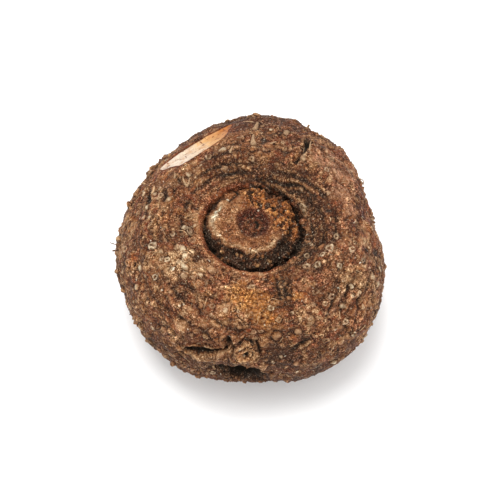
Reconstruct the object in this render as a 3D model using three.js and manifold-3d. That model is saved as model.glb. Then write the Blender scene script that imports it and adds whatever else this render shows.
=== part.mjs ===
// Elephant foot yam: one solid corm, a flattened globe with the ring-shaped scar of its old leaf stalk on top.
//
// Millimetres, +Z up. The origin is the middle of the base that the corm rests on, under the middle of its
// bounding box. +Y is the side that the slice was taken from, and -Y is the side with the offset bud.
//
// The whole skin is one parametric surface. It starts at the middle of the stalk scar, climbs out of the scar's
// moat over the lip, rolls over the shoulder to the girth and comes back under to the flat base. A turn is an
// angle round the corm, counted from +X towards +Y.

import * as THREE from "three";
import { ParametricGeometry } from "three/addons/geometries/ParametricGeometry.js";
import { mergeVertices } from "three/addons/utils/BufferGeometryUtils.js";
import Module from "manifold-3d";

const wasm = await Module();
wasm.setup();

// ---- Driving dimensions ----

const HEIGHT = 126; // of the shoulder, before the stalk scar sinks it
const GIRTH_HEIGHT = 60; // where the corm is widest
const BASE_RADIUS = 56; // of the flat patch that it rests on
// Radius of the girth at 16 even turns, from +X.
const GIRTH = [107, 105, 113, 119, 118, 112, 107, 106, 110, 113, 115, 116, 112, 118, 121, 114];
const SHOULDER_FULLNESS = 2.25; // 2 is an ellipse, and more is squarer
const UNDERSIDE_FULLNESS = 2.3;

const SCAR_CENTRE = new THREE.Vector2(1, -14);
const SCAR_RADIUS = 41; // to the top of the lip
const FUNNEL_DEPTH = 10; // how far the skin round the scar is sunk below the shoulder
const FUNNEL_WIDTH = 17;
const FUNNEL_TILT = 0.4; // the funnel is deeper on the side of FUNNEL_TURN
const FUNNEL_TURN = THREE.MathUtils.degToRad(50);

// The button in the middle of the scar sits a little off centre, and level while the lip slopes.
const BUTTON_HEIGHT = 119; // of the level that the scar's profile is measured from, at the middle
const BUTTON_SHIFT = 3;
// The scar's profile from the bud in its middle to the lip: [radius, height].
const SCAR_PROFILE = [
  [0, -4],
  [4.5, -2.2],
  [9, -3],
  [13.5, 0.5],
  [20, 1.8],
  [27.5, 2.6],
  [30.2, 1.2],
  [33, -1.6],
  [35.8, -5],
  [37.8, -8],
  [39.7, -3],
  [SCAR_RADIUS, 0],
];

const RIDGE_SPACING = 15; // of the leaf-scar rings round the stalk scar
const RIDGE_HEIGHT = 1.1;
const RIDGE_WAVER = 1.6; // how far the rings wander, in radians of their own wave

// Lumps and hollows: a stretch of skin from one point to another, pushed out by height over a radius.
const KNOLLS = [
  { name: "offset bud", from: [-6, -103, 91], to: [-5, -106, 87], radius: 11, height: 6.5 },
  { name: "rolled lip", from: [-42, -95, 100], to: [-13, -99, 103], radius: 7, height: 2.5 },
  { name: "crevice under the lip", from: [-43, -101, 90], to: [-19, -105, 91], radius: 6, height: -4.5 },
  { name: "hollow by the base", from: [-24, -111, 64], to: [2, -112, 58], radius: 10, height: -7 },
  { name: "fold beside the hollow", from: [4, -111, 74], to: [16, -111, 54], radius: 6, height: 2.5 },
  { name: "shoulder swelling", from: [58, 52, 112], to: [78, 30, 108], radius: 24, height: 2.5 },
  { name: "pinched waist", from: [104, 28, 70], to: [106, 12, 84], radius: 18, height: -3 },
];
const CORE = new THREE.Vector3(0, 0, 50); // knolls push away from here

// The slice: a knife cut with a flat floor, which ends in a wall along one straight edge.
const CUT_EDGE_START = new THREE.Vector3(-71, 52, 105.5);
const CUT_EDGE_END = new THREE.Vector3(-19, 91, 106.5);
const CUT_NEAR_POINT = new THREE.Vector3(-44, 56, 117);
const CUTTER = { length: 100, width: 60, height: 30 };

const SKIN_COLOUR = 0x85603f;

// Steps of the surface: round the corm, and along each section of it.
const TURN_STEPS = 72;
const STATIONS = { scar: 12, shoulder: 21, underside: 10, base: 3 };

// ---- Curves ----

// A smooth closed curve through values that are evenly spaced round the corm.
function around(values, turn) {
  const count = values.length;
  const place = THREE.MathUtils.euclideanModulo(turn / (2 * Math.PI), 1) * count;
  const first = Math.floor(place);
  const part = place - first;
  const at = (step) => values[(first + step + count) % count];
  const [a, b, c, d] = [at(-1), at(0), at(1), at(2)];
  const bend = -a + 3 * b - 3 * c + d;
  return 0.5 * (2 * b + (c - a) * part + (2 * a - 5 * b + 4 * c - d) * part ** 2 + bend * part ** 3);
}

const scarCurve = new THREE.SplineCurve(SCAR_PROFILE.map(([radius, height]) => new THREE.Vector2(radius, height)));

// How far the skin is sunk at a distance outside the lip.
function funnel(outside, turn) {
  const tilt = 1 + FUNNEL_TILT * Math.cos(turn - FUNNEL_TURN);
  return FUNNEL_DEPTH * tilt * Math.exp(-((outside / FUNNEL_WIDTH) ** 2));
}

// Rings of old leaf scars, strongest near the lip and gone at the girth.
function ridges(outside, turn) {
  const waver = RIDGE_WAVER * Math.sin(2 * turn + 1) + Math.sin(3 * turn - 0.6);
  const fade = Math.exp(-((outside / 45) ** 2)) * (1 - Math.exp(-outside / 4));
  return RIDGE_HEIGHT * fade * Math.sin((2 * Math.PI * outside) / RIDGE_SPACING + waver);
}

// ---- The surface ----

// The stalk scar. share runs from 0 in its middle to 1 on the lip.
function scarPoint(share, turn, target) {
  const profile = scarCurve.getPoint(share);
  const outward = THREE.MathUtils.smoothstep(profile.x, 29, SCAR_RADIUS);
  const lipHeight = HEIGHT - funnel(0, turn);
  const oval = 1 + 0.03 * Math.cos(2 * turn) * (1 - outward);
  target.set(
    SCAR_CENTRE.x + profile.x * oval * Math.cos(turn),
    SCAR_CENTRE.y + BUTTON_SHIFT * (1 - outward) + profile.x * oval * Math.sin(turn),
    THREE.MathUtils.lerp(BUTTON_HEIGHT, lipHeight, outward) + profile.y,
  );
}

// The shoulder. share runs from 0 on the lip to 1 at the girth.
function shoulderPoint(share, turn, target) {
  const girth = around(GIRTH, turn);
  const angle = (share * Math.PI) / 2;
  const spread = Math.sin(angle) ** (2 / SHOULDER_FULLNESS);
  const rise = Math.cos(angle) ** (2 / SHOULDER_FULLNESS);
  const outside = spread * (girth - SCAR_RADIUS);
  const radius = SCAR_RADIUS + outside;
  target.set(
    SCAR_CENTRE.x * (1 - spread) + radius * Math.cos(turn),
    SCAR_CENTRE.y * (1 - spread) + radius * Math.sin(turn),
    GIRTH_HEIGHT + (HEIGHT - GIRTH_HEIGHT) * rise - funnel(outside, turn) + ridges(outside, turn),
  );
}

// The underside. share runs from 0 at the girth to 1 on the base's edge.
function undersidePoint(share, turn, target) {
  const girth = around(GIRTH, turn);
  const angle = (share * Math.PI) / 2;
  const radius = BASE_RADIUS + (girth - BASE_RADIUS) * Math.cos(angle) ** (2 / UNDERSIDE_FULLNESS);
  const drop = Math.sin(angle) ** (2 / UNDERSIDE_FULLNESS);
  target.set(radius * Math.cos(turn), radius * Math.sin(turn), GIRTH_HEIGHT * (1 - drop));
}

// The base. share runs from 0 on its edge to 1 in its middle.
function basePoint(share, turn, target) {
  target.set(BASE_RADIUS * (1 - share) * Math.cos(turn), BASE_RADIUS * (1 - share) * Math.sin(turn), 0);
}

function pushKnolls(point) {
  const outward = point.clone().sub(CORE).normalize();
  const closest = new THREE.Vector3();
  let push = 0;
  for (const { from, to, radius, height } of KNOLLS) {
    const stretch = new THREE.Line3(new THREE.Vector3(...from), new THREE.Vector3(...to));
    stretch.closestPointToPoint(point, true, closest);
    push += height * Math.exp(-((closest.distanceTo(point) / radius) ** 2));
  }
  point.addScaledVector(outward, push);
}

// Each section's own share of the stations, in order from the scar to the base.
const SECTIONS = [
  [STATIONS.scar, scarPoint],
  [STATIONS.shoulder, shoulderPoint],
  [STATIONS.underside, undersidePoint],
  [STATIONS.base, basePoint],
];
const ALL_STATIONS = SECTIONS.reduce((sum, [count]) => sum + count, 0);

// The surface itself: the first argument goes round the corm and the second from the scar to the base.
function cormPoint(roundShare, stationShare, target) {
  const turn = (1 - roundShare) * 2 * Math.PI; // this way round, the faces point out
  let station = stationShare * ALL_STATIONS;
  let chosen = SECTIONS[0];
  for (const section of SECTIONS) {
    chosen = section;
    if (station <= section[0]) break;
    if (section !== SECTIONS.at(-1)) station -= section[0];
  }
  const [count, pointOf] = chosen;
  pointOf(Math.min(station / count, 1), turn, target);
  if (pointOf !== basePoint) pushKnolls(target);
}

// ---- Solids ----

function solidOf(geometry) {
  const bare = geometry.clone();
  bare.deleteAttribute("normal");
  bare.deleteAttribute("uv");
  const merged = mergeVertices(bare, 1e-3);
  return new wasm.Manifold(
    new wasm.Mesh({
      numProp: 3,
      vertProperties: new Float32Array(merged.attributes.position.array),
      triVerts: new Uint32Array(merged.index.array),
    }),
  );
}

function geometryOf(solid) {
  const mesh = solid.getMesh();
  const geometry = new THREE.BufferGeometry();
  geometry.setAttribute("position", new THREE.BufferAttribute(mesh.vertProperties, 3));
  geometry.setIndex(new THREE.BufferAttribute(mesh.triVerts, 1));
  geometry.computeVertexNormals();
  return geometry;
}

// A block whose bottom is the cut's floor and whose far side is the wall along the cut's straight edge.
function cutter() {
  const along = CUT_EDGE_END.clone().sub(CUT_EDGE_START).normalize();
  const inward = CUT_NEAR_POINT.clone().sub(CUT_EDGE_START);
  const up = inward.cross(along).normalize();
  if (up.z < 0) up.negate();
  const away = up.clone().cross(along);
  const middle = CUT_EDGE_START.clone()
    .lerp(CUT_EDGE_END, 0.5)
    .addScaledVector(away, -CUTTER.width / 2)
    .addScaledVector(up, CUTTER.height / 2);
  const block = new THREE.BoxGeometry(CUTTER.length, CUTTER.width, CUTTER.height);
  return block.applyMatrix4(new THREE.Matrix4().makeBasis(along, away, up).setPosition(middle));
}

function cormGeometry() {
  const whole = new ParametricGeometry(cormPoint, TURN_STEPS, ALL_STATIONS);
  const geometry = geometryOf(solidOf(whole).subtract(solidOf(cutter())));
  geometry.computeBoundingBox();
  const middle = geometry.boundingBox.getCenter(new THREE.Vector3());
  return geometry.translate(-middle.x, -middle.y, -geometry.boundingBox.min.z);
}

// ---- The object ----

const skin = new THREE.MeshStandardMaterial({ name: "skin", color: SKIN_COLOUR, roughness: 0.85, metalness: 0 });

const corm = new THREE.Mesh(cormGeometry(), skin);
corm.name = "corm";

const yam = new THREE.Group();
yam.name = "elephant_foot_yam";
yam.add(corm);

export default yam;
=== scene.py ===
"""Looks of the elephant foot yam: one corm with its warty skin modelled in mesh, and its dry rootlets.

The corm's form is the CAD model's own surface, written again here in millimetres and set on the CAD
node's box. Fine relief is pushed out along its normals, and the fields that shape it also colour it.
"""

import itertools
import math

import bpy
import numpy as np
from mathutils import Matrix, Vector
from mathutils.kdtree import KDTree


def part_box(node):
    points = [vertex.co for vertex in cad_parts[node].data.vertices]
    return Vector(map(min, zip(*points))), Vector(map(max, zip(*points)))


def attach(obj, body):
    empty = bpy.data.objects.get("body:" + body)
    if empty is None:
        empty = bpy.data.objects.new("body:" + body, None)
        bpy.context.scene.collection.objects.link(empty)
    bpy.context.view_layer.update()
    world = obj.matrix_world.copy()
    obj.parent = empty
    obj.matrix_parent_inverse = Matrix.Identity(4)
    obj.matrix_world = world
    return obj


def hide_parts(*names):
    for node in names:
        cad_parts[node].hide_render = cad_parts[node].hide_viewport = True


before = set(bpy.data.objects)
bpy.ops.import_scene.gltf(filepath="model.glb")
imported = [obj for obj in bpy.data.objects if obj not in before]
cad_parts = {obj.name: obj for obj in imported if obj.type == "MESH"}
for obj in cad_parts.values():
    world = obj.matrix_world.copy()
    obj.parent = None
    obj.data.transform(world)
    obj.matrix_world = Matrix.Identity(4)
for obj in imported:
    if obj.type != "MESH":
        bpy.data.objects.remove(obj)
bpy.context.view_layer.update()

MM = 0.001
SEED = 20
rng = np.random.default_rng(SEED)

# ---- Form, in millimetres: the same values as the CAD part ----

HEIGHT = 126.0
GIRTH_HEIGHT = 60.0
BASE_RADIUS = 56.0
GIRTH = (107, 105, 113, 119, 118, 112, 107, 106, 110, 113, 115, 116, 112, 118, 121, 114)
SHOULDER_FULLNESS = 2.25
UNDERSIDE_FULLNESS = 2.3
SCAR_CENTRE = (1.0, -14.0)
SCAR_RADIUS = 41.0
FUNNEL_DEPTH = 10.0
FUNNEL_WIDTH = 17.0
FUNNEL_TILT = 0.4
FUNNEL_TURN = math.radians(50)
BUTTON_HEIGHT = 119.0
BUTTON_SHIFT = 3.0
SCAR_PROFILE = np.array([
    (0, -4), (4.5, -2.2), (9, -3), (13.5, 0.5), (20, 1.8), (27.5, 2.6), (30.2, 1.2), (33, -1.6),
    (35.8, -5), (37.8, -8), (39.7, -3), (SCAR_RADIUS, 0),
], float)
RIDGE_SPACING = 15.0
RIDGE_HEIGHT = 1.1
RIDGE_WAVER = 1.6
RIDGE_REACH = 45.0
RIDGE_START = 4.0
BUTTON_OVAL = 0.03
BUTTON_EDGE = 29.0
# Lumps and hollows: from, to, radius, height.
KNOLLS = (
    ((-6, -103, 91), (-5, -106, 87), 11, 6.5),
    ((-42, -95, 100), (-13, -99, 103), 7, 2.5),
    ((-43, -101, 90), (-19, -105, 91), 6, -4.5),
    ((-24, -111, 64), (2, -112, 58), 10, -7),
    ((4, -111, 74), (16, -111, 54), 6, 2.5),
    ((58, 52, 112), (78, 30, 108), 24, 2.5),
    ((104, 28, 70), (106, 12, 84), 18, -3),
)
CORE = np.array((0.0, 0.0, 50.0))
CUT_EDGE_START = np.array((-71.0, 52.0, 105.5))
CUT_EDGE_END = np.array((-19.0, 91.0, 106.5))
CUT_NEAR_POINT = np.array((-44.0, 56.0, 117.0))
CUT_REACH = 60.0

SCAR, SHOULDER, UNDERSIDE, BASE = range(4)

# ---- Fields ----


def unit(vectors):
    return vectors / np.linalg.norm(vectors, axis=-1, keepdims=True)


NOISE_TABLE = rng.permutation(256)
NOISE_SLOPES = unit(rng.normal(size=(256, 3)))
NOISE_PLACES = rng.random((256, 3))


def lerp(a, b, share):
    return a + (b - a) * share


def blend(a, b, share):
    """Rows of colours a towards colour b."""
    return a + (np.asarray(b) - a) * share[:, None]


def smoothstep(value, low, high):
    share = np.clip((value - low) / (high - low), 0, 1)
    return share * share * (3 - 2 * share)


def fade(value, low, high):
    return 1 - smoothstep(value, low, high)


def bell(distance, radius):
    return np.exp(-((distance / radius) ** 2))


def table_entry(cell):
    x, y, z = (cell & 255).T
    return NOISE_TABLE[(NOISE_TABLE[(NOISE_TABLE[x] + y) & 255] + z) & 255]


def noise(points, size, seed=0):
    """Smooth noise, about -1 to 1, with lumps of that size."""
    place = points / size + seed * 7.31
    cell = np.floor(place).astype(int)
    part = place - cell
    ease = part**3 * (part * (part * 6 - 15) + 10)
    total = np.zeros(len(points))
    for corner in itertools.product((0, 1), repeat=3):
        slope = (NOISE_SLOPES[table_entry(cell + corner)] * (part - corner)).sum(1)
        total += slope * np.where(corner, ease, 1 - ease).prod(1)
    return total * 1.7


def layers(points, size, count, seed=0, gain=0.55):
    """Noise on noise, each layer half the size of the last."""
    total = np.zeros(len(points))
    for layer in range(count):
        total += noise(points, size / 2**layer, seed + 3 * layer) * gain**layer
    return total


def cells(points, size, seed=0):
    """Distances to the nearest and second nearest of scattered places, in units of the size."""
    place = points / size + seed * 5.17
    cell = np.floor(place).astype(int)
    first = np.full(len(points), 9.0)
    second = first.copy()
    for corner in itertools.product((-1, 0, 1), repeat=3):
        middle = cell + corner
        distance = np.linalg.norm(place - middle - NOISE_PLACES[table_entry(middle)], axis=1)
        second = np.minimum(second, np.maximum(first, distance))
        first = np.minimum(first, distance)
    return first, second


def wander(points, size, seed, reach):
    """Points shifted by noise, so that a shape drawn on them gets an irregular outline."""
    shift = np.stack([noise(points, size, seed + axis) for axis in range(3)], 1)
    return points + shift * reach


def segment_distance(points, start, end):
    start = np.asarray(start, float)
    along = np.asarray(end, float) - start
    share = np.clip((points - start) @ along / max(along @ along, 1e-9), 0, 1)
    return np.linalg.norm(points - start - share[:, None] * along, axis=1)


FAR = 1000.0


def path_distance(points, path, reach=14.0):
    """Distance to a path of points, and how far along it, 0 to 1. Far points are only marked as far."""
    distance = np.full(len(points), FAR)
    share = np.zeros(len(points))
    near = np.all((points > path.min(0) - reach) & (points < path.max(0) + reach), axis=1)
    picked = np.flatnonzero(near)
    if len(picked):
        gaps = np.linalg.norm(points[picked][:, None] - path[None], axis=2)
        closest = gaps.argmin(1)
        distance[picked] = gaps[np.arange(len(picked)), closest]
        share[picked] = closest / (len(path) - 1)
    return distance, share


# ---- The form's surface ----


def around(values, turn):
    """A smooth closed curve through values that are evenly spaced round the corm."""
    values = np.asarray(values, float)
    place = (turn / (2 * math.pi)) % 1.0 * len(values)
    first = np.floor(place).astype(int)
    part = place - first
    a, b, c, d = (values[(first + step) % len(values)] for step in (-1, 0, 1, 2))
    bend = -a + 3 * b - 3 * c + d
    return 0.5 * (2 * b + (c - a) * part + (2 * a - 5 * b + 4 * c - d) * part**2 + bend * part**3)


def scar_profile(share):
    last = len(SCAR_PROFILE) - 1
    place = share * last
    first = np.minimum(np.floor(place).astype(int), last)
    part = (place - first)[:, None]
    before = SCAR_PROFILE[np.maximum(first - 1, 0)]
    here = SCAR_PROFILE[first]
    after = SCAR_PROFILE[np.minimum(first + 1, last)]
    beyond = SCAR_PROFILE[np.minimum(first + 2, last)]
    leave, reach = (after - before) / 2, (beyond - here) / 2
    cubic = 2 * here - 2 * after + leave + reach
    square = -3 * here + 3 * after - 2 * leave - reach
    return (cubic * part**3 + square * part**2 + leave * part + here).T


def funnel(outside, turn):
    tilt = 1 + FUNNEL_TILT * np.cos(turn - FUNNEL_TURN)
    return FUNNEL_DEPTH * tilt * bell(outside, FUNNEL_WIDTH)


def ridges(outside, turn):
    waver = RIDGE_WAVER * np.sin(2 * turn + 1) + np.sin(3 * turn - 0.6)
    fade = bell(outside, RIDGE_REACH) * (1 - np.exp(-outside / RIDGE_START))
    return RIDGE_HEIGHT * fade * np.sin(2 * math.pi * outside / RIDGE_SPACING + waver)


def push_knolls(points):
    push = np.zeros(len(points))
    for start, end, radius, height in KNOLLS:
        push += height * bell(segment_distance(points, start, end), radius)
    return points + unit(points - CORE) * push[:, None]


def form(station, turn):
    """Points of the surface, and how far each is outside the lip of the stalk scar, less than 0 inside it.

    station counts the sections: 0 is the middle of the scar, 1 the lip, 2 the girth, 3 the base's edge
    and 4 its middle.
    """
    cosine, sine = np.cos(turn), np.sin(turn)
    girth = around(GIRTH, turn)
    section = np.clip(np.floor(station), SCAR, BASE)
    share = station - section

    radius, height = scar_profile(np.where(section == SCAR, share, 1.0))
    outward = smoothstep(radius, BUTTON_EDGE, SCAR_RADIUS)
    oval = 1 + BUTTON_OVAL * np.cos(2 * turn) * (1 - outward)
    scar = np.stack([
        SCAR_CENTRE[0] + radius * oval * cosine,
        SCAR_CENTRE[1] + BUTTON_SHIFT * (1 - outward) + radius * oval * sine,
        lerp(BUTTON_HEIGHT, HEIGHT - funnel(0, turn), outward) + height,
    ], 1)

    angle = share * math.pi / 2
    spread = np.sin(angle) ** (2 / SHOULDER_FULLNESS)
    rise = np.cos(angle) ** (2 / SHOULDER_FULLNESS)
    outside = spread * (girth - SCAR_RADIUS)
    shoulder_radius = SCAR_RADIUS + outside
    shoulder = np.stack([
        SCAR_CENTRE[0] * (1 - spread) + shoulder_radius * cosine,
        SCAR_CENTRE[1] * (1 - spread) + shoulder_radius * sine,
        GIRTH_HEIGHT + (HEIGHT - GIRTH_HEIGHT) * rise - funnel(outside, turn) + ridges(outside, turn),
    ], 1)

    under_radius = BASE_RADIUS + (girth - BASE_RADIUS) * np.cos(angle) ** (2 / UNDERSIDE_FULLNESS)
    drop = np.sin(angle) ** (2 / UNDERSIDE_FULLNESS)
    underside = np.stack([under_radius * cosine, under_radius * sine, GIRTH_HEIGHT * (1 - drop)], 1)

    base_radius = BASE_RADIUS * (1 - share)
    base = np.stack([base_radius * cosine, base_radius * sine, np.zeros_like(share)], 1)

    sections = [(section == part)[:, None] for part in (SCAR, SHOULDER, UNDERSIDE, BASE)]
    points = np.select(sections, [scar, shoulder, underside, base])
    points = np.where((section < BASE)[:, None], push_knolls(points), points)
    beyond = girth - SCAR_RADIUS + (section - SHOULDER) * 20
    on_top = [section == SCAR, section == SHOULDER]
    return points, np.select(on_top, [radius - SCAR_RADIUS, outside], beyond)


def on_shoulder(turn_degrees, outside):
    """Points of the shoulder at turns in degrees and distances outside the lip."""
    turn = np.radians(np.asarray(turn_degrees, float))
    spread = np.clip(np.asarray(outside, float) / (around(GIRTH, turn) - SCAR_RADIUS), 0, 1)
    return form(SHOULDER + np.arcsin(spread ** (SHOULDER_FULLNESS / 2)) * 2 / math.pi, turn)[0]


# ---- Mesh of the form ----

FINE_SPACING = 1.08
COARSE_SPACING = 1.9
ROW_TWIST = 0.381966  # share of a point's spacing that each row is turned from the last


def spacing(station):
    return lerp(FINE_SPACING, COARSE_SPACING, smoothstep(station, 2.25, 2.8))


def build_rows():
    """Stations of the rows, evenly spaced along the surface, and how many points each row has."""
    stations = np.linspace(0, 4, 4001)
    turns = np.linspace(0, 2 * math.pi, 24, endpoint=False)
    grid = form(np.repeat(stations, len(turns)), np.tile(turns, len(stations)))[0]
    grid = grid.reshape(len(stations), len(turns), 3)
    middle = (stations[1:] + stations[:-1]) / 2
    steps = np.linalg.norm(np.diff(grid, axis=0), axis=2).mean(1) / spacing(middle)
    run = np.concatenate([[0], np.cumsum(steps)])
    rows = np.interp(np.linspace(0, run[-1], int(run[-1])), run, stations)
    loops = np.linalg.norm(np.roll(grid, -1, axis=1) - grid, axis=2).sum(1)
    counts = np.maximum(np.round(np.interp(rows, stations, loops) / spacing(rows)).astype(int), 6)
    counts[[0, -1]] = 1
    return rows, counts


def join_rows(counts):
    """Triangles between rows of points, where each edge joins the nearest point of the next row."""
    offsets = (np.arange(len(counts)) * ROW_TWIST) % 1.0
    starts = np.concatenate([[0], np.cumsum(counts)])
    faces = []
    for row in range(len(counts) - 1):
        for here, there in ((row, row + 1), (row + 1, row)):
            near, far = counts[here], counts[there]
            if near == 1:
                continue
            edge = np.arange(near)
            turn = (edge + 0.5 + offsets[here]) / near
            meets = starts[there] + np.floor(turn * far - offsets[there] + 0.5).astype(int) % far
            ends = starts[here] + edge, starts[here] + (edge + 1) % near
            corners = (ends[0], meets, ends[1]) if here == row else (*ends, meets)
            faces.append(np.stack(corners, 1))
    turns = [(np.arange(count) + offset) / count for count, offset in zip(counts, offsets)]
    return np.concatenate(faces), np.concatenate(turns) * 2 * math.pi


def vertex_normals(points, faces):
    corners = points[faces]
    face_normals = np.cross(corners[:, 1] - corners[:, 0], corners[:, 2] - corners[:, 0])
    total = np.stack([
        sum(np.bincount(faces[:, corner], face_normals[:, axis], len(points)) for corner in range(3))
        for axis in range(3)
    ], 1)
    return unit(total)


def smoothed(values, faces, rounds):
    """Values averaged with their neighbours, some rounds over."""
    count = np.bincount(faces.ravel(), minlength=len(values)) * 2.0
    for _ in range(rounds):
        total = np.zeros(len(values))
        for corner in range(3):
            others = values[faces[:, (corner + 1) % 3]] + values[faces[:, (corner + 2) % 3]]
            total += np.bincount(faces[:, corner], others, len(values))
        values = 0.5 * values + 0.5 * total / count
    return values


rows, counts = build_rows()
faces, turns = join_rows(counts)
stations = np.repeat(rows, counts)
skin, outside = form(stations, turns)
normals = vertex_normals(skin, faces)
middle = (skin.min(0) + skin.max(0)) / 2
print("corm mesh:", len(skin), "points,", len(faces), "triangles")


def lumps(size, seed):
    """Smooth noise over the skin."""
    return noise(skin, size, seed)


def layered(size, count, seed, gain=0.55):
    """Layered noise over the skin."""
    return layers(skin, size, count, seed, gain)


# ---- Root scars ----

# Kinds of root scar: a ring with a pore, a smooth pearl, a root's stub, and a pit.
RING, PEARL, STUB, PIT = range(4)
KIND_SHARES = (0.42, 0.36, 0.10, 0.12)
# Sizes, from the largest down: how many, least and most radius in millimetres.
SCAR_SIZES = ((150, 2.8, 4.1), (390, 1.8, 2.8), (420, 0.9, 1.8))
# Scars that stand out from the others: place and radius.
SINGLE_PEARLS = (
    (-77, 17, 115, 2.6), (-65, 9, 122, 2.4), (-83, 6, 114, 2), (-80, -4, 117, 1.8), (-67, -28, 122, 1.8),
    (-58, -34, 122, 2.6), (-53, -36, 123, 2.6), (-46, -38, 121, 2.8), (-51, -43, 123, 2.6),
    (-56, -47, 122, 2.8), (-51, -51, 122, 2.8), (-60, -52, 121, 2.6), (-51, -59, 122, 3),
    (-39, -59, 123, 2.6), (-53, -16, 122, 2.2), (-44, -13, 119, 1.8), (-87, -44, 107, 2.6),
    (-83, -51, 107, 2.2), (-89, -55, 97, 2.4), (92, -42, 103, 2), (94, -47, 99, 3.2), (78, -62, 110, 2.2),
    (77, -68, 107, 2.4), (70, -77, 107, 2.4), (86, -72, 95, 3),
)
SINGLE_RINGS = (
    (-77, -30, 117, 4), (-65, -45, 121, 2.8), (-49, -17, 120, 3.2), (-61, -22, 122, 2.4),
    (-75, -54, 112, 2.6), (60, -35, 122, 3.8), (77, -34, 117, 3.2), (66, -24, 121, 3.2),
    (46, -27, 116, 2.3), (51, -50, 123, 3.2), (43, -38, 118, 2.6), (54, -40, 123, 2.6), (67, -49, 120, 3),
    (72, -86, 97, 3.4),
)
SINGLE_PITS = ((-70, -43, 118, 1.8), (-101, -21, 96, 3.2), (61, -74, 115, 2.6))
SINGLES = (SINGLE_PEARLS, SINGLE_RINGS, SINGLE_PITS)
SCAR_GAP = 1.08  # least distance between two scars, in the sum of their radii
SCAR_ROW = 8.5  # spacing of the rows that the scars follow round the stalk scar
POINTS_AT_ONCE = 4000
SCAR_STEP = 9.7  # shift of the noise from one scar to the next, so that no two outlines are alike


def cut_frame():
    """Directions along the slice's edge, away from the stalk scar, and up out of the slice."""
    along = unit(CUT_EDGE_END - CUT_EDGE_START)
    up = unit(np.cross(CUT_NEAR_POINT - CUT_EDGE_START, along))
    if up[2] < 0:
        up = -up
    return along, np.cross(up, along), up


def cut_depth(points):
    """How deep the points are inside the slice, in millimetres: less than 0 outside it."""
    along, away, up = cut_frame()
    from_edge = points - (CUT_EDGE_START + CUT_EDGE_END) / 2
    inside = np.minimum(from_edge @ up, -(from_edge @ away))
    inside = np.minimum(inside, CUT_REACH / 2 + from_edge @ away)
    return np.minimum(inside, CUT_REACH / 2 - np.abs(from_edge @ along) * 0.7)


def settle(places):
    """The surface's nearest points to some places."""
    return np.array([skin[((skin - place) ** 2).sum(1).argmin()] for place in places])


def reach_from(place, outline):
    """Distances of some points from a place settled on the surface."""
    return np.linalg.norm(outline - settle([place])[0], axis=1)


def scatter_scars():
    """Centres, radii and kinds of the root scars."""
    row_phase = np.cos(2 * math.pi * (outside + 2.5 * lumps(30, 41)) / SCAR_ROW)
    crowding = 0.62 + 0.6 * lumps(28, 42)
    crowding *= smoothstep(skin[:, 2], 6, 34) * smoothstep(outside, 0.5, 4)
    crowding = np.where(cut_depth(skin) > -3.0, 0, crowding)
    chance = crowding * (0.35 + 0.65 * (row_phase > -0.1))
    order = rng.permutation(len(skin))
    luck = rng.random(len(skin))
    placed = np.array(sum(SINGLES, ()), float)
    centres, radii = settle(placed[:, :3]), placed[:, 3]
    cursor = 0
    for count, least, most in SCAR_SIZES:
        made = 0
        while made < count and cursor < len(order):
            vertex = order[cursor]
            cursor += 1
            if luck[vertex] > chance[vertex]:
                continue
            radius = rng.uniform(least, most)
            gap = np.linalg.norm(centres - skin[vertex], axis=1) / (radii + radius)
            if gap.min() < SCAR_GAP:
                continue
            centres = np.vstack([centres, skin[vertex]])
            radii = np.append(radii, radius)
            made += 1
    kinds = rng.choice(4, len(radii), p=KIND_SHARES)
    kinds[:len(placed)] = np.repeat((PEARL, RING, PIT), [len(singles) for singles in SINGLES])
    return centres, radii, kinds


scar_centres, scar_radii, scar_kinds = scatter_scars()
scar_tones = rng.random(len(scar_radii)) ** 1.6
scar_heights = rng.uniform(0.6, 1.25, len(scar_radii))
singled = sum(len(singles) for singles in SINGLES)
scar_tones[:singled] = rng.uniform(0.75, 0.95, singled)
print("root scars:", len(scar_radii))


def nearest_scar():
    """For every point, which scar it is nearest to in that scar's radii, and the offset from its middle."""
    which = np.zeros(len(skin), int)
    for start in range(0, len(skin), POINTS_AT_ONCE):
        part = skin[start:start + POINTS_AT_ONCE]
        square = (part**2).sum(1)[:, None] + (scar_centres**2).sum(1) - 2 * part @ scar_centres.T
        which[start:start + POINTS_AT_ONCE] = (square / scar_radii**2).argmin(1)
    return which, (skin - scar_centres[which]) / scar_radii[which][:, None]


scar_of, scar_offset = nearest_scar()
scar_shift = SCAR_STEP * scar_of[:, None]
scar_offset = wander(scar_offset + scar_shift, 1.2, 60, 0.34) - scar_shift
scar_distance = np.linalg.norm(scar_offset, axis=1)
kind = scar_kinds[scar_of]
tone = scar_tones[scar_of]
scar_radius = scar_radii[scar_of]

# ---- Relief ----

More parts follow.
